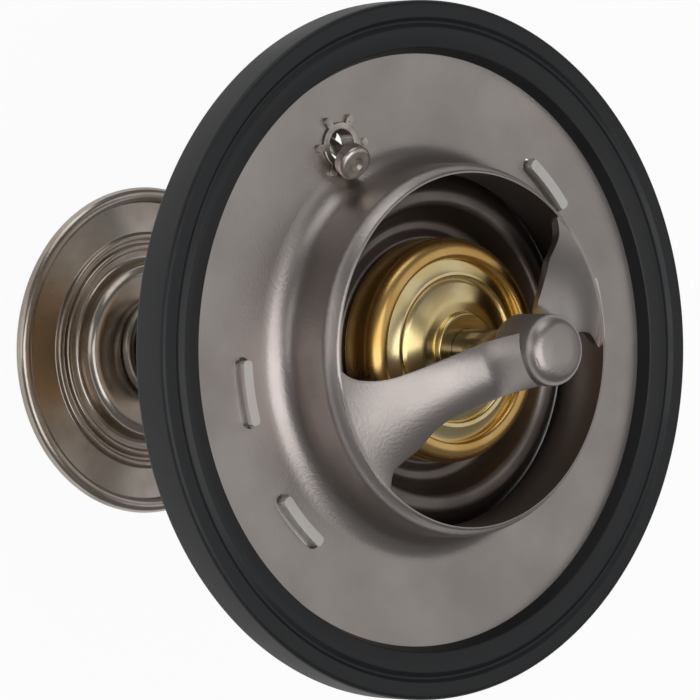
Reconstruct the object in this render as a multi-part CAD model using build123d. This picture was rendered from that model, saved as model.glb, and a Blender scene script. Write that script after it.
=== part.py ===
"""Coolant thermostat with a bypass disc, for a truck engine.

One pressed bridge frame, a wax element that pushes a main valve off its seat, a main spring
that shuts it again, and a sprung disc that closes the bypass port when the engine is hot.

Units are millimetres. +Z is the element's axis, towards the bridge. The origin is the centre of
the flange's bridge-side face. The bridge lies along X and the vent valve stands on +Y.
"""
from build123d import *
import math
import os

# ---- flange and rim seal -------------------------------------------------------------------
SEAL_R = 38.0                  # outer radius of the rubber rim: the housing's counterbore
SEAL_TOP_Z = 1.75              # sealing faces, bridge side and element side
SEAL_BOTTOM_Z = -2.95
SEAL_LIP_R = 32.8              # inner edge of the bridge-side lip
FLANGE_R = 35.6                # edge of the steel flange, deep in the seal's groove
FLANGE_T = 1.1                 # steel sheet of flange, collar and bridge

# ---- collar and bridge ---------------------------------------------------------------------
COLLAR_R = 20.2                # outside of the drawn collar
COLLAR_TOP_Z = 8.3
COLLAR_FOOT_R = 3.0            # fillet from flange to collar
WINDOW_R = COLLAR_R - FLANGE_T
BRIDGE_LIFT = 0.26             # slope at which the bridge arms leave the collar
BRIDGE_CURVE = 0.0242          # how that slope grows towards the axis, per millimetre
ELBOW_R = 6.2                  # from here inwards the arms sweep up into the boss
ELBOW_CURVE = 0.12
BOSS_R = 3.85
BOSS_FOOT_Z = 15.4
BOSS_TOP_Z = 22.3
ARM_HALF_WIDTH = 3.2
ARM_CROWN = 0.09               # how fast an arm's edges fall away, per millimetre of width

# ---- lower frame ---------------------------------------------------------------------------
FRAME_T = 1.2
FRAME_R = 26.3                 # outside of the two legs
FRAME_KNEE_Z = -12.5           # where the legs turn inwards
FRAME_FLOOR_Z = -22.0          # spring seat
FRAME_FLOOR_R = 17.6
TAB_ANGLE = 17.7               # of each tab from the bridge line, degrees
TAB_HALF_ANGLE = 7.8
TAB_TOP_Z = 1.0
SLOT_GAP = 0.45                # of a slot's long sides from its tab
LEG_HALF_WIDTH = 11.9

# ---- wax element ---------------------------------------------------------------------------
CASE_R = 8.4                   # body that slides through the frame's guide
CASE_BORE_R = 7.4
CASE_FLOOR_Z = -30.5
CRIMP_R = 12.2                 # rolled lip that holds the cover
CRIMP_TOP_Z = 5.7
PISTON_R = 2.3
PISTON_TOP_Z = 20.9            # where the piston's end bears inside the boss
PISTON_FOOT_Z = -22.1
NECK_TOP_Z = 7.2
SHELF_Z = 2.4                  # shelf in the case that carries the sleeve's flange
GUIDE_FOOT_Z = -3.0

# ---- valve, springs and bypass -------------------------------------------------------------
VALVE_R = 21.7
VALVE_T = 1.2
VALVE_HUB_Z = 0.6              # face on which the case's shoulder bears
MAIN_COIL_R = 15.4             # mean radius of the coil on the frame's floor
MAIN_TOP_COIL_R = 10.3         # mean radius of the coil under the valve's hub
MAIN_WIRE = 2.1
STEM_R = 2.0
STEM_FOOT_Z = -48.1
DISC_R = 18.65
DISC_FLOOR_Z = -44.9
DISC_T = 0.9
DISC_FOOT_Z = -48.5
BYPASS_COIL_R = 5.6
BYPASS_WIRE = 1.3
STEPS_PER_TURN = 20            # both springs are plain facets: a light mesh for what bends
WIRE_SIDES = 12

# ---- vent valve ----------------------------------------------------------------------------
VENT_AT = (-0.2, 25.0)         # centre of the vent hole in the flange
VENT_HOLE_R = 2.2
VENT_BORE_R = 1.75             # the loose pin's hole through the clinched crown
PETAL_ANGLES = (40, 100, 160, 220, 340)  # none on the side where the collar rises
PIN_SHANK_R = 0.7
PIN_HEAD_R = 2.0
PIN_END = 3.75                 # from the middle of the sheet to the head's end
PIN_LEAN = 28.0                # how far the loose pin falls to one side, degrees
PIN_LEAN_TO = (-0.47, -0.883)  # which way it leans
PIN_SHIFT = 0.4                # how far it slides that way before it leans

RUNNING = 0.05                 # radial clearance of every sliding fit
TOUCH = 0.02                   # gap where a spring's end bears on a piece that moves


def turned(outline):
    """Solid of revolution about Z from a closed outline drawn as (radius, height)."""
    return revolve(Plane.XZ * make_face(outline), Axis.Z)


def outline(*corners):
    """Closed outline from corners (radius, height, bend radius); the bend may be left out."""
    points = [corner[:2] for corner in corners]
    bends = [corner[2] if len(corner) == 3 else 0 for corner in corners]
    return FilletPolyline(*points, radius=bends, close=True)


def drum(radius, low_z, high_z, centre=(0, 0)):
    """Plain cylinder between two heights."""
    return Pos(centre[0], centre[1], (low_z + high_z) / 2) * Cylinder(radius, high_z - low_z)


def arc_block(inner_r, outer_r, middle, half_angle, low_z, high_z):
    """Block bounded by two cylinders about Z and two radial planes."""
    reach = outer_r * 1.5
    low, high = math.radians(middle - half_angle), math.radians(middle + half_angle)
    wedge = Polyline(
        (0, 0),
        (reach * math.cos(low), reach * math.sin(low)),
        (reach * math.cos(high), reach * math.sin(high)),
        close=True,
    )
    ring = Circle(outer_r) - Circle(inner_r)
    return Pos(0, 0, low_z) * extrude(ring & make_face(wedge), high_z - low_z)


def tab_angles():
    """Directions of the four tabs that join the lower frame to the flange."""
    return [side + sign * TAB_ANGLE for side in (0, 180) for sign in (-1, 1)]


# ---- frame pieces --------------------------------------------------------------------------
def bridge_height(radius):
    """Height of the bridge's upper face at a distance from the axis."""
    if radius > WINDOW_R:
        return COLLAR_TOP_Z - (radius - WINDOW_R)
    inward = WINDOW_R - radius
    elbow = max(0.0, ELBOW_R - radius)
    return COLLAR_TOP_Z + BRIDGE_LIFT * inward + BRIDGE_CURVE * inward ** 2 + ELBOW_CURVE * elbow ** 2


def arm_section(distance, half_width, drop):
    """Cross-section of one bridge arm: an arch on a flat base, lowered by the sheet."""
    crown = bridge_height(distance)
    crowning = ARM_CROWN * half_width ** 2 * max(0.0, 1 - distance / WINDOW_R)
    edge = bridge_height(math.hypot(distance, half_width)) - crowning
    arch = ThreePointArc((-half_width, edge - drop), (0, crown - drop), (half_width, edge - drop))
    base_z = 3 - drop
    base = Polyline(arch @ 1, (half_width, base_z), (-half_width, base_z), arch @ 0)
    return Plane((distance, 0, 0), x_dir=(0, 1, 0), z_dir=(1, 0, 0)) * make_face(arch + base)


def arm_body(drop):
    """Everything under one arm's upper face, over more width than the windows leave."""
    stations = [(2.0, 5.0), (4.0, 5.0), (6.0, 5.2), (8.0, 5.6), (10.0, 6.2), (13.0, 7.5), (16.0, 9.0),
                (20.6, 11.0)]
    return loft([arm_section(distance, width, drop) for distance, width in stations])


def arms_plan():
    """Plan of the two arms: their edges bend outwards into the collar's rim."""
    wide = ARM_HALF_WIDTH
    near = [(2, wide), (-12.6, wide + 0.2), (-15.4, 3.9), (-17.8, 5.1), (-23, 9.5),
            (-23, -12.0), (-17.0, -6.0), (-14.2, -5.2), (-11.2, -wide), (2, -wide)]
    far = [(-2, -wide), (9.4, -wide), (12.2, -4.4), (15.0, -4.95), (17.3, -6.6), (23, -12.0),
           (23, 8.5), (17.6, 5.3), (14.0, 4.15), (9.5, wide + 0.2), (-2, wide)]
    arms = [make_face(FilletPolyline(*points, radius=1.2, close=True)) for points in (near, far)]
    return (arms[0] + arms[1]) & Circle(COLLAR_R - 0.05)


def bridge():
    """Two pressed arms that sweep up from the collar into a deep-drawn boss on the axis."""
    fall = FLANGE_T * 1.16
    arm = arm_body(0) - arm_body(fall)
    arms = (arm + mirror(arm, Plane.YZ)) & extrude(arms_plan(), BOSS_TOP_Z)
    boss = turned(outline((0, BOSS_FOOT_Z), (BOSS_R, BOSS_FOOT_Z), (BOSS_R, BOSS_TOP_Z, 2.3),
                          (0, BOSS_TOP_Z)))
    seat_r = PISTON_R + RUNNING * 2
    socket = turned(outline((0, BOSS_FOOT_Z - 4), (3.1, BOSS_FOOT_Z - 4), (3.1, 18.4),
                            (seat_r, 19.4), (seat_r, PISTON_TOP_Z), (0, PISTON_TOP_Z)))
    return arms + boss - socket


def upper_flange():
    """Flange, collar and bridge, pressed from one stainless sheet."""
    plate = turned(outline((FLANGE_R, 0), (COLLAR_R, 0, COLLAR_FOOT_R),
                           (COLLAR_R, COLLAR_TOP_Z, FLANGE_T * 0.95), (WINDOW_R, COLLAR_TOP_Z),
                           (WINDOW_R, -FLANGE_T, COLLAR_FOOT_R + FLANGE_T), (FLANGE_R, -FLANGE_T)))
    body = plate + bridge()
    for angle in tab_angles():
        slot = arc_block(FRAME_R - FRAME_T - SLOT_GAP, FRAME_R + SLOT_GAP, angle,
                         TAB_HALF_ANGLE + 1.0, -3, 3)
        body -= fillet(slot.edges().filter_by(Axis.Z), 0.9)
    return body - drum(VENT_HOLE_R, -3, 3, VENT_AT)


def rim_seal():
    """Moulded rubber ring that grips the flange's edge in a groove."""
    top, low = SEAL_TOP_Z, SEAL_BOTTOM_Z
    return turned(outline(
        (SEAL_LIP_R - 0.6, 0), (SEAL_LIP_R, top - 0.3, 0.25), (34.3, top, 0.4), (35.0, top, 0.3),
        (35.6, top - 0.45, 0.3), (36.1, top, 0.2), (SEAL_R, top, 0.55), (SEAL_R, low, 0.6),
        (34.6, low, 0.4), (33.8, low + 0.5, 0.4), (SEAL_LIP_R + 0.2, -FLANGE_T),
        (FLANGE_R, -FLANGE_T), (FLANGE_R, 0)))


def frame_plan():
    """Plan of the lower frame: a round floor with a leg widening out on each side."""
    wide = LEG_HALF_WIDTH
    leg = Polyline((30, wide), (24, wide), (10, 4.4), (10, -4.4), (24, -wide), (30, -wide), close=True)
    floor_r = FRAME_FLOOR_R + 0.6
    plan = Circle(floor_r) + make_face(leg) + mirror(make_face(leg), Plane.YZ)
    corners = plan.vertices().filter_by(lambda v: abs(math.hypot(v.X, v.Y) - floor_r) < 0.01)
    corners = corners.filter_by(lambda v: abs(v.Y) > 1)
    return fillet(corners, 2.0)


def lower_frame():
    """Two-legged cage of stainless sheet: spring seat, element guide and four tabs."""
    guide_r = CASE_R + RUNNING
    inner_r = FRAME_R - FRAME_T
    cup = turned(outline(
        (inner_r, -FLANGE_T), (inner_r, FRAME_KNEE_Z, 3.0), (FRAME_FLOOR_R, FRAME_FLOOR_Z, 2.0),
        (guide_r, FRAME_FLOOR_Z, 0.6), (guide_r, -24.8), (guide_r + 1.0, -24.8),
        (guide_r + 1.0, FRAME_FLOOR_Z - FRAME_T, 0.3),
        (FRAME_FLOOR_R + 0.6, FRAME_FLOOR_Z - FRAME_T, 3.2), (FRAME_R, FRAME_KNEE_Z - 0.4, 4.2),
        (FRAME_R, -FLANGE_T)))
    body = cup & (Pos(0, 0, -40) * extrude(frame_plan(), 60))
    for angle in tab_angles():
        tab = arc_block(inner_r, FRAME_R, angle, TAB_HALF_ANGLE, -FLANGE_T - 0.5, TAB_TOP_Z)
        body += fillet(tab.edges().filter_by(Axis.Z), 0.45)
    return body


# ---- wax element ---------------------------------------------------------------------------
def element_case():
    """Brass cup for the wax, with a rolled lip over the cover and a boss for the stem."""
    return turned(outline(
        (0, -28.5), (CASE_BORE_R, -28.5, 1.0), (CASE_BORE_R, SHELF_Z), (11.0, SHELF_Z), (11.0, 4.9),
        (9.9, 4.9), (9.9, CRIMP_TOP_Z, 0.55), (CRIMP_R, CRIMP_TOP_Z, 1.7), (CRIMP_R, VALVE_HUB_Z, 0.8),
        (CASE_R, VALVE_HUB_Z), (CASE_R, CASE_FLOOR_Z, 1.5), (4.2, CASE_FLOOR_Z, 0.4),
        (4.2, CASE_FLOOR_Z - 2, 0.5), (2.4, CASE_FLOOR_Z - 2), (2.4, CASE_FLOOR_Z + 1),
        (0, CASE_FLOOR_Z + 1)))


def element_cover():
    """Brass cover with a shallow dome, a neck and a long guide for the piston."""
    bore = PISTON_R + RUNNING
    return turned(outline(
        (bore, GUIDE_FOOT_Z), (4.8, GUIDE_FOOT_Z), (4.8, 3.9), (11.0, 3.9), (11.0, 4.9), (9.8, 4.9),
        (8.0, 5.75, 0.6), (7.7, 5.35, 0.1), (7.3, 5.6, 0.3), (5.4, 6.35, 2.5), (4.1, 6.45, 0.15),
        (4.1, NECK_TOP_Z, 0.3), (bore, NECK_TOP_Z), (bore, 6.2), (3.3, 6.2), (3.3, 5.0), (bore, 5.0)))


def piston_wiper():
    """Ring in the neck's groove that keeps grit off the piston."""
    return turned(outline((PISTON_R + 0.02, 5.0), (3.3, 5.0), (3.3, 6.2), (PISTON_R + 0.02, 6.2)))


def sleeve_outside():
    """Outer face of the rubber sleeve below its flange, shared with the wax."""
    return [(6.2, SHELF_Z), (6.2, -4.5), (4.2, -6.5), (3.8, -22.6), (2.6, -24.2)]


def elastomer_sleeve():
    """Rubber sleeve that the melting wax squeezes, so that it drives the piston out."""
    bore = PISTON_R + 2 * RUNNING
    inside = [(0, -22.2), (1.2, -22.2), (bore, -20.9), (bore, GUIDE_FOOT_Z), (4.8, GUIDE_FOOT_Z),
              (4.8, 3.9), (11.0, 3.9), (11.0, SHELF_Z)]
    return turned(outline(*inside, *sleeve_outside(), (0, -24.2)))


def wax_charge():
    """Wax that fills the cup around the sleeve."""
    wall = [(0, -28.5), (CASE_BORE_R, -28.5, 1.0), (CASE_BORE_R, SHELF_Z)]
    return turned(outline(*wall, *sleeve_outside(), (0, -24.2)))


def piston():
    """Ground steel pin between the sleeve and the bridge's boss."""
    return turned(outline((0, PISTON_FOOT_Z), (1.1, PISTON_FOOT_Z), (PISTON_R, -20.8, 0.3),
                          (PISTON_R, PISTON_TOP_Z, 0.6), (0, PISTON_TOP_Z)))


# ---- main valve and spring -----------------------------------------------------------------
def main_valve():
    """Pressed valve ring: hub under the case's shoulder, ridge over the spring, seat cone."""
    hub_r = CASE_R + RUNNING
    under_z = VALVE_HUB_Z - VALVE_T
    return turned(outline(
        (hub_r, VALVE_HUB_Z), (12.6, VALVE_HUB_Z, 1.3), (13.8, 4.1, 1.5), (15.7, 4.1, 1.5),
        (VALVE_R, -1.37), (VALVE_R - 0.81, -2.26), (15.23, 2.9, 0.3), (14.66, 2.9, 0.3),
        (13.46, under_z, 2.5), (hub_r, under_z)))


def coil_height(turn, turns, wire, climb):
    """Height of a spring's wire after some turns: the first and last coils are closed."""
    closed = wire * 1.04
    if turn <= 1:
        return closed * turn
    if turn >= turns - 1:
        return climb - closed * (turns - turn)
    return closed + (climb - 2 * closed) * (turn - 1) / (turns - 2)


def spring(low_r, top_r, wire, low_z, high_z, turns):
    """Round-wire compression spring, straight or conical, with closed, ground ends."""
    ground = wire * 0.3
    start_z = low_z + wire / 2 - ground
    climb = high_z - low_z - wire + 2 * ground
    steps = round(turns * STEPS_PER_TURN)
    points = []
    for step in range(steps + 1):
        turn = turns * step / steps
        height = coil_height(turn, turns, wire, climb)
        radius = low_r + (top_r - low_r) * height / climb
        angle = 2 * math.pi * turn
        points.append((radius * math.cos(angle), radius * math.sin(angle), start_z + height))
    line = Polyline(*points)
    section = Plane(line @ 0, x_dir=(0, 0, 1), z_dir=line % 0) * RegularPolygon(wire / 2, WIRE_SIDES)
    coil = sweep(section, path=line, transition=Transition.RIGHT)
    return coil & drum(max(low_r, top_r) + wire, low_z, high_z)


def main_spring():
    """Conical spring that holds the main valve shut; its top coil bears on the valve's hub."""
    return spring(MAIN_COIL_R, MAIN_TOP_COIL_R, MAIN_WIRE, FRAME_FLOOR_Z,
                  VALVE_HUB_Z - VALVE_T - TOUCH, 4.9)


# ---- bypass valve --------------------------------------------------------------------------
def bypass_stem():
    """Pin pressed into the case's boss; its lower end is riveted over a washer."""
    shoulder = CASE_FLOOR_Z - 2.4
    return turned(outline(
        (0, CASE_FLOOR_Z + 1), (2.4, CASE_FLOOR_Z + 1), (2.4, shoulder), (STEM_R, shoulder - 0.3),
        (STEM_R, -47.25), (3.0, -47.25), (2.4, STEM_FOOT_Z, 0.4), (0, STEM_FOOT_Z)))


def stem_washer():
    """Washer that stops the bypass disc on its stem."""
    return turned(outline((STEM_R, -47.25), (4.3, -47.25, 0.2), (4.3, -46.45, 0.2), (STEM_R, -46.45)))


def bypass_bush():
    """Flanged bush in the disc's centre that runs on the stem."""
    bore = STEM_R + RUNNING
    return turned(outline((bore, -46.4), (3.1, -46.4, 0.2), (3.1, DISC_FLOOR_Z), (4.1, DISC_FLOOR_Z),
                          (4.1, DISC_FLOOR_Z + 0.8, 0.3), (bore, DISC_FLOOR_Z + 0.8)))


def bypass_disc():
    """Pressed disc with a rolled rim, a stepped centre and two locating ribs."""
    floor = DISC_FLOOR_Z
    web = turned(outline(
        (3.1, floor), (10.5, floor, 0.5), (11.1, floor + 0.8, 0.3), (11.7, floor + 0.8, 0.3),
        (12.0, floor + 0.4, 0.2), (12.9, floor + 0.4, 0.45), (13.4, -47.1, 0.8), (17.9, -47.5),
        (17.9, -48.3), (12.4, -48.0, 1.2), (12.1, floor - 0.5, 0.3), (11.2, floor - 0.3, 0.3),
        (10.4, floor - DISC_T, 0.5), (3.1, floor - DISC_T)))
    roll = (DISC_R - 17.0) / 2
    rim = turned(Pos(DISC_R - roll, DISC_FOOT_Z + roll) * CenterArc((0, 0), roll, 0, 360))
    return web + rim


def bypass_spring():
    """Spring that keeps the bypass disc at the end of its stem."""
    return spring(BYPASS_COIL_R, BYPASS_COIL_R, BYPASS_WIRE, DISC_FLOOR_Z + TOUCH,
                  CASE_FLOOR_Z, 4.6)


# ---- vent valve ----------------------------------------------------------------------------
def vent_crown():
    """Sheet crown clinched into the vent hole; its petals lie round the loose pin."""
    neck_r = VENT_HOLE_R - RUNNING
    sleeve = turned(outline(
        (VENT_BORE_R, -1.75), (2.5, -1.6, 0.1), (2.6, -FLANGE_T), (neck_r, -FLANGE_T),
        (neck_r, 0.05), (2.5, 0.15), (2.5, 0.35, 0.1), (VENT_BORE_R, 0.35, 0.1)))
    petal = Pos(2.8, 0, 0.22) * Box(0.9, 0.8, 0.26) + Pos(3.15, 0, 0.27) * Cylinder(0.42, 0.44)
    for angle in PETAL_ANGLES:
        sleeve += Rot(0, 0, angle) * petal
    return Pos(VENT_AT[0], VENT_AT[1], 0) * sleeve


def vent_pin():
    """Loose pin that leans in the crown and lets air past its thin shank."""
    upright = turned(outline(
        (0, -3.5), (2.1, -3.5, 0.2), (2.1, -2.8, 0.2), (PIN_SHANK_R, -2.7), (PIN_SHANK_R, 1.6),
        (PIN_HEAD_R - 0.1, 2.2, 0.3), (PIN_HEAD_R, PIN_END, 0.5), (0.8, PIN_END),
        (0.5, PIN_END - 0.35), (0, PIN_END - 0.35)))
    pivot = (VENT_AT[0] + PIN_SHIFT * PIN_LEAN_TO[0], VENT_AT[1] + PIN_SHIFT * PIN_LEAN_TO[1],
             -FLANGE_T / 2)
    tipping_line = Axis(pivot, (PIN_LEAN_TO[1], -PIN_LEAN_TO[0], 0))
    return (Pos(*pivot) * upright).rotate(tipping_line, -PIN_LEAN)


PIECES = [
    upper_flange, rim_seal, lower_frame, piston, vent_crown, vent_pin, element_case,
    element_cover, piston_wiper, elastomer_sleeve, wax_charge, main_valve, main_spring,
    bypass_stem, stem_washer, bypass_bush, bypass_disc, bypass_spring,
]

os.makedirs("parts", exist_ok=True)
for piece in PIECES:
    export_step(piece(), f"parts/{piece.__name__}.step")
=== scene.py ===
"""Coolant thermostat with a bypass disc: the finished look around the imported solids."""

import math

import bmesh
import bpy
from mathutils import Matrix, Vector


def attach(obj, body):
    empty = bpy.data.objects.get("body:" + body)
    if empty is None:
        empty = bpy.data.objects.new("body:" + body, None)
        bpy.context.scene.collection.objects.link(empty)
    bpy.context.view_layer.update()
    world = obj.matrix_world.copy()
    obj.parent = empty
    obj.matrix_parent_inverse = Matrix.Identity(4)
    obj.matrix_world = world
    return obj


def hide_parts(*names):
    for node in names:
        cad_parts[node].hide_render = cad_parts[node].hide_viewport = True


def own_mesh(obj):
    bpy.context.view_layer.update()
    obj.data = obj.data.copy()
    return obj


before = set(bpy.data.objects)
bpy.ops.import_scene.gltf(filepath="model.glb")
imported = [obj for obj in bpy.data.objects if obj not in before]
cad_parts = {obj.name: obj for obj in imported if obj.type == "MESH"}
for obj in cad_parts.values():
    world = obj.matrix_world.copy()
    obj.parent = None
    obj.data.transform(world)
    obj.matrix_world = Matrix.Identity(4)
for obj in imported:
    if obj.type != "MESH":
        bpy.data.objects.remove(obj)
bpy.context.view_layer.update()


# ---- Flange, collar and bridge -----------------------------------------------------------------
# The flange, the collar and the bridge over it are one stainless sheet, 1.1 mm thick, drawn and
# pierced in a press. The steel keeps the mill's satin skin, with faint stretch marks and handling.

MM = 0.001
SHEET = 1.1 * MM
FLANGE_R = 35.6
COLLAR_IN, COLLAR_OUT = 19.1, 20.2
COLLAR_TOP = 8.3


def linear(hex_colour):
    """sRGB hex colour as linear RGBA."""
    parts = [int(hex_colour[i:i + 2], 16) / 255 for i in (1, 3, 5)]
    return [c / 12.92 if c <= 0.04045 else ((c + 0.055) / 1.055) ** 2.4 for c in parts] + [1.0]


def add(tree, kind, inputs=None, **settings):
    """Adds a node; an input's value is a number, a colour or another node's socket."""
    node = tree.nodes.new(kind)
    for name, value in settings.items():
        setattr(node, name, value)
    for name, value in (inputs or {}).items():
        if isinstance(value, bpy.types.NodeSocket):
            tree.links.new(value, node.inputs[name])
        else:
            node.inputs[name].default_value = value
    return node


def blank(name):
    """New material with its node tree emptied but for the output."""
    material = bpy.data.materials.new(name)
    material.use_nodes = True
    tree = material.node_tree
    tree.nodes.clear()
    return material, tree, tree.nodes.new("ShaderNodeOutputMaterial")


def satin_metal(name, light, dark, roughness, patch_mm, grain_mm, bump_mm, spread=0.1):
    """Metal whose tone and gloss drift in soft patches, over a fine even grain.

    The colours are sRGB hex. The sizes of a patch and of a grain, and the grain's depth, are in
    mm. The gloss's spread is how far the roughness drifts.
    """
    material, tree, output = blank(name)
    place = add(tree, "ShaderNodeTexCoord").outputs["Object"]
    patch = add(tree, "ShaderNodeTexNoise", {"Vector": place, "Scale": 1000 / patch_mm, "Detail": 4.0})
    grain = add(tree, "ShaderNodeTexNoise", {"Vector": place, "Scale": 1000 / grain_mm, "Detail": 2.0})
    tone = add(tree, "ShaderNodeMapRange", {
        "Value": patch.outputs["Fac"], "From Min": 0.35, "From Max": 0.65})
    # A Mix node has several sockets of one name, so its colours A and B are taken by number.
    colour = add(tree, "ShaderNodeMix", {"Factor": tone.outputs["Result"]}, data_type="RGBA")
    colour.inputs[6].default_value = linear(dark)
    colour.inputs[7].default_value = linear(light)
    gloss = add(tree, "ShaderNodeMapRange", {
        "Value": patch.outputs["Fac"], "From Min": 0.3, "From Max": 0.7,
        "To Min": roughness + spread / 2, "To Max": roughness - spread / 2})
    bump = add(tree, "ShaderNodeBump", {
        "Height": grain.outputs["Fac"], "Strength": 0.6, "Distance": bump_mm * MM})
    shader = add(tree, "ShaderNodeBsdfPrincipled", {
        "Base Color": colour.outputs[2], "Metallic": 1.0, "Roughness": gloss.outputs["Result"],
        "Normal": bump.outputs["Normal"]})
    tree.links.new(shader.outputs["BSDF"], output.inputs["Surface"])
    return material


def finish_mesh(bm, name, material, sharp=32):
    """Object from a bmesh, smooth but for the edges sharper than an angle in degrees."""
    bmesh.ops.remove_doubles(bm, verts=bm.verts, dist=1e-6)
    bmesh.ops.recalc_face_normals(bm, faces=bm.faces)
    for face in bm.faces:
        face.smooth = True
    for edge in bm.edges:
        edge.smooth = edge.calc_face_angle(0) < math.radians(sharp)
    mesh = bpy.data.meshes.new(name)
    bm.to_mesh(mesh)
    bm.free()
    piece = bpy.data.objects.new(name, mesh)
    bpy.context.scene.collection.objects.link(piece)
    mesh.materials.append(material)
    return piece


def lathe(corners, steps=192):
    """Shell turned about Z from a closed outline of (radius, height, bend radius) in mm."""
    bm = bmesh.new()
    points = [bm.verts.new((c[0] * MM, 0, c[1] * MM)) for c in corners]
    face = bm.faces.new(points)
    spots = [Vector(c[:2]) for c in corners]
    for i, corner in enumerate(corners):
        if len(corner) == 3:
            before, after = spots[i] - spots[i - 1], spots[(i + 1) % len(spots)] - spots[i]
            turn = before.angle(after)
            bmesh.ops.bevel(bm, geom=[points[i]], offset=corner[2] * MM * math.tan(turn / 2),
                            segments=max(3, round(turn * 5)), profile=0.5, affect="VERTICES",
                            offset_type="OFFSET", material=-1)
    bmesh.ops.delete(bm, geom=[f for f in bm.faces], context="FACES_ONLY")
    axial = [e for e in bm.edges if max(abs(v.co.x) for v in e.verts) < 1e-7]
    bmesh.ops.delete(bm, geom=axial, context="EDGES")
    bmesh.ops.spin(bm, geom=bm.verts[:] + bm.edges[:], cent=(0, 0, 0), axis=(0, 0, 1),
                   angle=math.tau, steps=steps, use_merge=True)
    return bm


def cut_away(piece, cutters):
    """Takes the cutters' volume out of a piece for good, then deletes the cutters."""
    for cutter in cutters:
        tool = piece.modifiers.new("cut", "BOOLEAN")
        tool.object = cutter
        tool.solver = "EXACT"
    ready = piece.evaluated_get(bpy.context.evaluated_depsgraph_get())
    bm = bmesh.new()
    bm.from_mesh(bpy.data.meshes.new_from_object(ready))
    name, material = piece.name, piece.data.materials[0]
    for spent in [piece] + cutters:
        bpy.data.objects.remove(spent)
    return finish_mesh(bm, name, material)


def prism(corners, low, high, name, material):
    """Upright block between two heights over a plan given as (x, y) in mm."""
    bm = bmesh.new()
    floor = bm.faces.new([bm.verts.new((x * MM, y * MM, low * MM)) for x, y in corners])
    walls = bmesh.ops.extrude_face_region(bm, geom=[floor])
    top = [v for v in walls["geom"] if isinstance(v, bmesh.types.BMVert)]
    bmesh.ops.translate(bm, verts=top, vec=(0, 0, (high - low) * MM))
    return finish_mesh(bm, name, material)


def arc_slot(middle, half_angle, radius, half_width):
    """Plan of a slot that follows a circle about the axis and has rounded ends."""
    corners = []
    for side, turn in ((1, 1), (-1, -1)):
        for step in range(13):
            angle = math.radians(middle - turn * half_angle + turn * 2 * half_angle * step / 12)
            reach = radius + side * half_width
            corners.append((reach * math.cos(angle), reach * math.sin(angle)))
        end = math.radians(middle + turn * half_angle)
        for step in range(1, 8):
            sweep = end + (math.pi * step / 8 if turn > 0 else math.pi + math.pi * step / 8)
            corners.append((radius * math.cos(end) + half_width * math.cos(sweep),
                            radius * math.sin(end) + half_width * math.sin(sweep)))
    return corners


# Cold rolled, then drawn without polishing: lamps show on this skin as broad, soft bands.
flange_steel = satin_metal("cold_rolled_stainless_satin", "#B8B0AC", "#AAA29E", 0.36, 12, 0.35, 0.035)

flange_shell = lathe([
    (FLANGE_R, 0), (COLLAR_OUT, 0, 3.0), (COLLAR_OUT, 7.1, 2.0), (19.35, COLLAR_TOP, 0.5),
    (COLLAR_IN, COLLAR_TOP), (COLLAR_IN, -1.1, 4.1), (FLANGE_R, -1.1)], 256)
flange = finish_mesh(flange_shell, "flange_and_collar", flange_steel)

# Four slots for the lower frame's tabs, two at each end of the bridge, and the vent's round hole.
SLOT_ANGLE, SLOT_HALF_ANGLE = 17.7, 6.3
SLOT_R, SLOT_HALF_WIDTH = 25.7, 1.05
VENT_X, VENT_Y, VENT_R = -0.2, 25.0, 2.2
CUT_BELOW, CUT_ABOVE = -3, 3
plans = [arc_slot(side + sign * SLOT_ANGLE, SLOT_HALF_ANGLE, SLOT_R, SLOT_HALF_WIDTH)
         for side in (0, 180) for sign in (-1, 1)]
plans.append([(VENT_X + VENT_R * math.cos(math.tau * i / 48),
               VENT_Y + VENT_R * math.sin(math.tau * i / 48)) for i in range(48)])
flange = cut_away(
    flange, [prism(plan, CUT_BELOW, CUT_ABOVE, "cutter", flange_steel) for plan in plans])

# How far the bridge's edges stand from its middle line, in mm, at shares of the way from the axis
# to the collar. Each edge bends outwards at last, so that the windows' corners are round.
NEAR_UPPER = [(0.0, 3.2), (0.4, 3.2), (0.64, 3.35), (0.78, 3.8), (0.9, 4.9), (0.96, 6.0), (1.0, 7.6)]
NEAR_LOWER = [(0.0, 3.2), (0.4, 3.2), (0.55, 3.3), (0.64, 3.9), (0.74, 5.1), (0.86, 5.6),
              (0.94, 6.2), (1.0, 8.4)]
FAR_UPPER = [(0.0, 3.2), (0.4, 3.25), (0.6, 3.6), (0.73, 4.2), (0.88, 4.8), (0.95, 5.6), (1.0, 7.4)]
FAR_LOWER = [(0.0, 3.2), (0.45, 3.3), (0.62, 4.4), (0.77, 4.9), (0.9, 6.0), (0.95, 7.0), (1.0, 9.2)]
BOSS_R, BOSS_TOP = 3.85, 22.3
ARM_END, ARM_CROWN = 19.45, 0.09
# The arms stand a little proud of the collar, climb towards the axis along a parabola, and bend
# up the boss's side from the elbow on.
PROUD, CLIMB, CLIMB_CURVE = 0.03, 0.26, 0.0242
ELBOW_FROM, ELBOW_RISE, INNER_R = 5.8, 0.55, BOSS_R - 0.5


def share_of(table, at):
    """Smooth value at a place in a table of (place, value) rows."""
    for i, ((x0, y0), (x1, y1)) in enumerate(zip(table, table[1:])):
        if at <= x1:
            before, after = table[max(i - 1, 0)], table[min(i + 2, len(table) - 1)]
            t, reach = (at - x0) / (x1 - x0), x1 - x0
            leave = (y1 - before[1]) / (x1 - before[0]) * reach
            arrive = (after[1] - y0) / (after[0] - x0) * reach
            held = y0 * (1 + 2 * t) * (1 - t) ** 2 + y1 * t * t * (3 - 2 * t)
            return held + leave * t * (1 - t) ** 2 + arrive * t * t * (t - 1)
    return table[-1][1]


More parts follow.
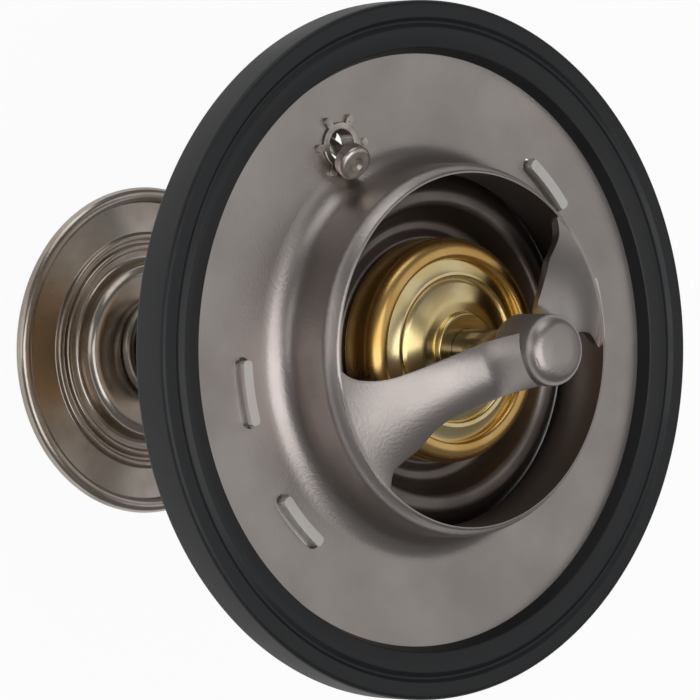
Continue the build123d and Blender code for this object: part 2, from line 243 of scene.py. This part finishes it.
def bridge_height(r):
    """Height of the bridge's upper face at a distance from the axis, in mm."""
    if r > COLLAR_IN:
        return COLLAR_TOP + PROUD
    inward = COLLAR_IN - max(r, INNER_R)
    elbow = max(0.0, ELBOW_FROM - max(r, INNER_R))
    return COLLAR_TOP + PROUD + CLIMB * inward + CLIMB_CURVE * inward ** 2 + ELBOW_RISE * elbow ** 2


bm = bmesh.new()
bmesh.ops.create_grid(bm, x_segments=260, y_segments=36, size=1)
for vert in bm.verts:
    along, across = abs(vert.co.x), vert.co.y
    if vert.co.x < 0:
        edge = NEAR_UPPER if across > 0 else NEAR_LOWER
    else:
        edge = FAR_UPPER if across > 0 else FAR_LOWER
    y = across * share_of(edge, along)
    x = along * math.sqrt(ARM_END ** 2 - (across * edge[-1][1]) ** 2)
    crown = ARM_CROWN * y * y * max(0.0, 1 - x / COLLAR_IN)
    z = bridge_height(math.hypot(x, y)) - crown
    vert.co = (math.copysign(x, vert.co.x) * MM, y * MM, z * MM)
bridge = finish_mesh(bm, "bridge", flange_steel, sharp=80)
wall = bridge.modifiers.new("sheet", "SOLIDIFY")
wall.thickness = SHEET
wall.offset = -1
soft = bridge.modifiers.new("sheared edges", "BEVEL")
soft.width = 0.3 * MM
soft.segments = 3
soft.limit_method = "ANGLE"
soft.angle_limit = math.radians(60)

# The boss is a cup that the same press drew in the arch's middle; the piston stands inside it.
boss_shell = lathe([
    (0, BOSS_TOP), (1.4, BOSS_TOP, 3.0), (BOSS_R, 21.8, 1.6), (BOSS_R, 15.4, 0.4), (3.1, 15.4),
    (3.1, 18.4), (2.4, 19.4), (2.4, 20.9), (0, 20.9)], 96)
boss = finish_mesh(boss_shell, "bridge_boss", flange_steel)

for piece in (flange, bridge, boss):
    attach(piece, "frame")
    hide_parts("upper_flange")


# ---- Rim seal ----------------------------------------------------------------------------------
# A moulded ring of black EPDM rubber, stretched over the flange's edge. Its two lips on each side
# are what the housing squeezes; the mould leaves them smooth with a dull sheen.

# Moulded in a smooth tool: nearly black, with a low waxy gleam along the lips.
rubber, tree, output = blank("moulded_epdm_rubber")
place = add(tree, "ShaderNodeTexCoord").outputs["Object"]
cloud = add(tree, "ShaderNodeTexNoise", {"Vector": place, "Scale": 1000 / 7, "Detail": 3.0})
skin = add(tree, "ShaderNodeTexNoise", {"Vector": place, "Scale": 1000 / 0.5, "Detail": 2.0})
tone = add(tree, "ShaderNodeMix", {"Factor": cloud.outputs["Fac"]}, data_type="RGBA")
tone.inputs[6].default_value = linear("#0A0C0F")
tone.inputs[7].default_value = linear("#13161A")
gloss = add(tree, "ShaderNodeMapRange", {
    "Value": cloud.outputs["Fac"], "To Min": 0.38, "To Max": 0.56})
bump = add(tree, "ShaderNodeBump", {
    "Height": skin.outputs["Fac"], "Strength": 0.4, "Distance": 0.03 * MM})
shader = add(tree, "ShaderNodeBsdfPrincipled", {
    "Base Color": tone.outputs[2], "Roughness": gloss.outputs["Result"], "IOR": 1.52,
    "Normal": bump.outputs["Normal"]})
tree.links.new(shader.outputs["BSDF"], output.inputs["Surface"])

seal_shell = lathe([
    (32.2, 0), (32.8, 1.45, 0.25), (34.3, 1.75, 0.4), (35.0, 1.75, 0.3), (35.6, 1.3, 0.3),
    (36.1, 1.75, 0.2), (37.98, 1.75, 0.55), (37.98, -2.95, 0.6), (34.6, -2.95, 0.4),
    (33.8, -2.45, 0.4), (33.0, -1.1), (35.6, -1.1), (35.6, 0)], 288)
seal = finish_mesh(seal_shell, "rim_seal_ring", rubber)
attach(seal, "frame")
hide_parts("rim_seal")


# ---- Lower frame -------------------------------------------------------------------------------
# A cage of stainless sheet, pierced and folded into two legs under a ring for the spring to
# stand on. Four tabs at the legs' tops stand through slots in the flange and are clinched there.

# Rolled to a plain matt finish and sheared at the edges, so it looks paler than the drawn flange.
tab_steel = satin_metal("pierced_stainless_matt", "#E6E3DF", "#DCD9D4", 0.52, 14, 0.3, 0.02)


def coat(node, material):
    """Gives a solid that is shown as it is its only material."""
    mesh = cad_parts[node].data
    mesh.materials.clear()
    mesh.materials.append(material)


coat("lower_frame", tab_steel)


# ---- Vent valve --------------------------------------------------------------------------------
# A small crown clinched into the flange, and a loose turned pin that leans in it and lets air
# past. Both are plain steel that handling and storage have dulled.

# Turned, then tumbled in a barrel: rounded glints on a skin that is a little brown.
dull_steel = satin_metal("dulled_turned_steel", "#CFC8C1", "#A79F97", 0.34, 1.6, 0.2, 0.02, 0.16)
coat("vent_crown", dull_steel)
coat("vent_pin", dull_steel)


# ---- Wax element -------------------------------------------------------------------------------
# A cup drawn from brass and left bright, with its lip rolled over a turned brass cover. The wax
# in it swells as it warms, and drives the cup down off the piston.

# The cup was drawn in a smooth die and left bright, which gives a deep, clear gold.
brass = satin_metal("bright_drawn_brass", "#E8C27C", "#DAAC60", 0.28, 5, 0.4, 0.004, 0.08)
# The cover was turned and buffed, so it is smoother and paler than the cup round it.
pale_brass = satin_metal("turned_brass_polished", "#F6E3B0", "#EACF8C", 0.21, 5, 0.4, 0.004, 0.08)

case_shell = lathe([
    (0, -28.5), (7.4, -28.5, 1.0), (7.4, 2.4), (11.0, 2.4), (11.0, 4.9), (9.9, 4.9), (9.9, 5.7, 0.55),
    (12.2, 5.7, 1.7), (12.2, 0.6, 0.8), (8.4, 0.6), (8.4, -30.5, 1.5), (4.2, -30.5, 0.4),
    (4.2, -32.5, 0.5), (2.4, -32.5), (2.4, -29.5), (0, -29.5)], 128)
case = finish_mesh(case_shell, "wax_element_case", brass)
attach(case, "valve")
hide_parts("element_case")

cover_shell = lathe([
    (2.35, -3), (4.8, -3), (4.8, 3.9), (11.0, 3.9), (11.0, 4.9), (9.8, 4.9), (8.0, 5.75, 0.6),
    (7.7, 5.35, 0.1), (7.3, 5.6, 0.3), (5.4, 6.35, 2.5), (4.1, 6.45, 0.15), (4.1, 7.2, 0.3),
    (2.35, 7.2), (2.35, 6.2), (3.3, 6.2), (3.3, 5.0), (2.35, 5.0)], 128)
cover = finish_mesh(cover_shell, "wax_element_cover", pale_brass)
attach(cover, "valve")
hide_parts("element_cover")


# ---- Main valve --------------------------------------------------------------------------------
# A stainless ring pressed to a hub, a stiffening ridge and a cone that seats in the collar's
# bend. The main spring holds its hub up against the element's rolled lip.

valve_shell = lathe([
    (8.45, 0.6), (12.4, 0.6, 0.4), (13.1, -0.3, 0.5), (14.2, -0.3, 0.8), (15.9, 2.6, 1.0),
    (17.4, 2.6, 0.8), (21.7, -1.37), (20.89, -2.26), (17.0, 1.4, 0.3), (16.6, 1.4, 0.3),
    (15.0, -1.4, 1.5), (13.0, -1.4, 0.6), (12.4, -0.6, 0.3), (8.45, -0.6)], 192)
# Deep drawing has roughened this sheet; its grey is darkened to paint the collar's shade on it.
shaded_valve_steel = satin_metal("deep_drawn_stainless_painted_shade", "#857E79", "#6E6762", 0.38, 8, 0.35, 0.02)
valve = finish_mesh(valve_shell, "main_valve_ring", shaded_valve_steel)
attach(valve, "valve")
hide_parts("main_valve")


# ---- Piston ------------------------------------------------------------------------------------
# A hardened steel pin, centreless ground, that stands between the wax's sleeve and the boss.
# Inside the element a wiper ring, a rubber sleeve and the wax itself lie round it.

# Grinding leaves the pin nearly a mirror, so it takes the colours that stand round it.
ground_steel = satin_metal("ground_hardened_steel", "#9C9792", "#857F79", 0.16, 6, 0.15, 0.004, 0.04)
# The inner rubber is moulded like the seal, and the wax is cast with copper powder stirred in.
inner_rubber = rubber.copy()
inner_rubber.name = "moulded_nitrile_rubber"
wax, tree, output = blank("cast_copper_filled_wax")
place = add(tree, "ShaderNodeTexCoord").outputs["Object"]
grains = add(tree, "ShaderNodeTexNoise", {"Vector": place, "Scale": 1000 / 0.4, "Detail": 3.0})
mixed_wax = add(tree, "ShaderNodeMix", {"Factor": grains.outputs["Fac"]}, data_type="RGBA")
mixed_wax.inputs[6].default_value = linear("#8A5A3C")
mixed_wax.inputs[7].default_value = linear("#B98A62")
shader = add(tree, "ShaderNodeBsdfPrincipled", {
    "Base Color": mixed_wax.outputs[2], "Roughness": 0.6, "IOR": 1.44})
tree.links.new(shader.outputs["BSDF"], output.inputs["Surface"])
coat("piston", ground_steel)
coat("piston_wiper", inner_rubber)
coat("elastomer_sleeve", inner_rubber)
coat("wax_charge", wax)


# ---- Springs -----------------------------------------------------------------------------------
# Two springs coiled from round spring wire, with closed ends ground flat. The conical one shuts
# the main valve and the straight one holds the bypass disc at the end of its stem.

# Wire drawn through a die and tempered in oil: a thin brown-grey skin with a line of light on it.
spring_steel = satin_metal("drawn_spring_wire", "#A19A92", "#7F7870", 0.3, 3, 0.3, 0.01)
# How much of the wire is ground off at an end, and the rise of a closed turn, in wire thicknesses.
GROUND_SHARE, CLOSED_PITCH = 0.3, 1.04


def coil(name, low_r, top_r, wire, low_z, high_z, turns):
    """Round-wire spring with closed, ground ends, from sizes in mm."""
    ground = wire * GROUND_SHARE
    closed = wire * CLOSED_PITCH
    climb = high_z - low_z - wire + 2 * ground
    curve = bpy.data.curves.new(name, "CURVE")
    curve.dimensions = "3D"
    curve.bevel_depth = wire / 2 * MM
    curve.bevel_resolution = 5
    line = curve.splines.new("POLY")
    steps = round(turns * 40)
    line.points.add(steps)
    for step, point in enumerate(line.points):
        turn = turns * step / steps
        if turn <= 1:
            height = closed * turn
        elif turn >= turns - 1:
            height = climb - closed * (turns - turn)
        else:
            height = closed + (climb - 2 * closed) * (turn - 1) / (turns - 2)
        reach, angle = low_r + (top_r - low_r) * height / climb, math.tau * turn
        z = low_z + wire / 2 - ground + height
        point.co = (reach * math.cos(angle) * MM, reach * math.sin(angle) * MM, z * MM, 1)
    route = bpy.data.objects.new(name, curve)
    bpy.context.scene.collection.objects.link(route)
    ready = route.evaluated_get(bpy.context.evaluated_depsgraph_get())
    bm = bmesh.new()
    bm.from_mesh(bpy.data.meshes.new_from_object(ready))
    bpy.data.objects.remove(route)
    for height, facing in ((low_z, -1), (high_z, 1)):
        bmesh.ops.bisect_plane(bm, geom=bm.verts[:] + bm.edges[:] + bm.faces[:], clear_outer=True,
                               plane_co=(0, 0, height * MM), plane_no=(0, 0, facing))
    bmesh.ops.holes_fill(bm, edges=[e for e in bm.edges if e.is_boundary])
    return finish_mesh(bm, name, spring_steel, sharp=50)


main_spring = coil("main_spring_coil", 15.4, 10.3, 2.1, -22.0, -0.62, 4.9)
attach(main_spring, "frame")
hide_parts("main_spring")
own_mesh(main_spring)

bypass_spring = coil("bypass_spring_coil", 5.6, 5.6, 1.3, -44.88, -30.5, 4.6)
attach(bypass_spring, "valve")
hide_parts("bypass_spring")
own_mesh(bypass_spring)


# ---- Bypass disc and its stem ------------------------------------------------------------------
# A thin stainless disc with a rolled rim; two ribs round its middle stiffen it. It slides on a
# turned pin with a flanged bush, and a washer under the pin's riveted end stops it.

# Bright-rolled sheet keeps the roll's polish in the press, so each rib draws a thin line of light.
disc_steel = satin_metal("pressed_stainless_bright", "#CCC2B8", "#AEA194", 0.24, 7, 0.3, 0.01)
disc_shell = lathe([
    (3.1, -44.9), (9.9, -44.9, 1.3), (10.4, -47.35, 0.5), (11.4, -47.35, 0.15), (11.6, -46.8, 0.25),
    (12.1, -46.8, 0.25), (12.3, -47.35, 0.1), (12.6, -47.35, 0.1), (12.8, -46.8, 0.25),
    (13.3, -46.8, 0.25), (13.5, -47.35, 0.15), (17.75, -47.5), (17.75, -48.3), (9.6, -48.15, 1.2),
    (9.1, -45.8, 0.5), (3.1, -45.8)], 192)
disc = finish_mesh(disc_shell, "bypass_disc_plate", disc_steel)
ROLL_R, ROLL_AT, ROLL_Z = 0.88, 17.77, -47.6
rim = bmesh.new()
bmesh.ops.create_circle(rim, segments=24, radius=ROLL_R * MM)
bmesh.ops.rotate(rim, verts=rim.verts, matrix=Matrix.Rotation(math.pi / 2, 3, "X"))
bmesh.ops.translate(rim, verts=rim.verts, vec=(ROLL_AT * MM, 0, ROLL_Z * MM))
bmesh.ops.spin(rim, geom=rim.verts[:] + rim.edges[:], axis=(0, 0, 1), angle=math.tau,
               steps=192, use_merge=True)
rolled = finish_mesh(rim, "bypass_disc_rim", disc_steel)
for piece in (disc, rolled):
    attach(piece, "bypass")
    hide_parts("bypass_disc")

# Both are turned from bar, steel and brass, and keep the tool's fine, even sheen.
turned_steel = satin_metal("turned_stainless_bar", "#ACA6A0", "#928C86", 0.22, 5, 0.2, 0.006)
bush_brass = satin_metal("turned_brass_bar", "#C9A565", "#A98750", 0.28, 3, 0.2, 0.008)
coat("bypass_stem", turned_steel)
coat("stem_washer", turned_steel)
coat("bypass_bush", bush_brass)


# ---- Room --------------------------------------------------------------------------------------
# A matt white floor just under the lowest place the disc reaches; it takes a faint shadow.
# Four soft lamps follow: a broad one behind the camera, and weaker ones left, above and right.

FLOOR_Z = -57.6
floor_bm = bmesh.new()
bmesh.ops.create_grid(floor_bm, x_segments=1, y_segments=1, size=3)
bmesh.ops.translate(floor_bm, verts=floor_bm.verts, vec=(0, 0, FLOOR_Z * MM))
floor_paint, tree, output = blank("white_floor")
# The floor glows white to the camera, faintly in metal, and through clear things. The rest of it
# is paper, which takes the shadow.
seen = add(tree, "ShaderNodeLightPath")
paper = add(tree, "ShaderNodeBsdfDiffuse", {"Color": linear("#F4F4F4")})
glow = add(tree, "ShaderNodeEmission", {"Color": (1, 1, 1, 1), "Strength": 1.0})
straight = add(tree, "ShaderNodeMath", {
    0: seen.outputs["Is Camera Ray"], 1: 0.95}, operation="MULTIPLY")
mirrored = add(tree, "ShaderNodeMath", {
    0: seen.outputs["Is Glossy Ray"], 1: 0.3}, operation="MULTIPLY")
through = add(tree, "ShaderNodeMath", {
    0: mirrored.outputs[0], 1: seen.outputs["Is Transmission Ray"]}, operation="MAXIMUM")
share = add(tree, "ShaderNodeMath", {
    0: straight.outputs[0], 1: through.outputs[0]}, operation="MAXIMUM")
mixed = add(tree, "ShaderNodeMixShader", {
    0: share.outputs[0], 1: paper.outputs[0], 2: glow.outputs[0]})
tree.links.new(mixed.outputs[0], output.inputs["Surface"])
floor = finish_mesh(floor_bm, "floor", floor_paint)

world = bpy.data.worlds.new("studio")
bpy.context.scene.world = world
world.use_nodes = True
world.node_tree.nodes["Background"].inputs["Color"].default_value = (1, 1, 1, 1)
world.node_tree.nodes["Background"].inputs["Strength"].default_value = 0.14

# The camera's own directions, turned about the part's axis and then tipped away from it.
YAW, ROLL = math.radians(41.0), math.radians(28.0)
axis = Vector((0, 0, 1))
tangent = Vector((math.cos(ROLL), -math.sin(ROLL), 0))
up = Vector((math.sin(ROLL), math.cos(ROLL), 0))
right = math.sin(YAW) * axis + math.cos(YAW) * tangent
back = math.cos(YAW) * axis - math.sin(YAW) * tangent


def soft_lamp(name, direction, distance, size, power):
    """Square lamp that faces the part from a direction given as (right, up, back) of the view."""
    data = bpy.data.lights.new(name, "AREA")
    data.size = size
    data.energy = power
    lamp = bpy.data.objects.new(name, data)
    bpy.context.scene.collection.objects.link(lamp)
    toward = (direction[0] * right + direction[1] * up + direction[2] * back).normalized()
    lamp.location = toward * distance
    lamp.rotation_euler = toward.to_track_quat("Z", "Y").to_euler()


soft_lamp("front", (0.36, -0.2, 1.0), 1.1, 1.2, 7.0)
soft_lamp("key", (-0.75, 0.2, 0.7), 0.8, 0.5, 0.6)
soft_lamp("top", (0.1, 1.0, 0.4), 0.8, 0.5, 0.8)
soft_lamp("side", (1.0, 0.1, 0.2), 0.9, 0.9, 1.05)

# A long lens stands 20 times the seal's lip radius away, so the view hardly converges. It aims
# at the height of the seal's upper face, a little to the left of the axis.
LIP, SEAL_TOP = 32.8 * MM, 1.75 * MM
camera_data = bpy.data.cameras.new("camera")
camera_data.lens = 311.1
camera_data.sensor_width = 36
camera_data.clip_start = 0.01
camera = bpy.data.objects.new("camera", camera_data)
bpy.context.scene.collection.objects.link(camera)
spot = Vector((0, 0, SEAL_TOP)) - 0.277 * LIP * right + 20 * LIP * back
turn = Matrix((right, up, back)).transposed().to_4x4()
camera.matrix_world = Matrix.Translation(spot) @ turn
bpy.context.scene.camera = camera

bpy.context.scene.view_settings.view_transform = "Standard"
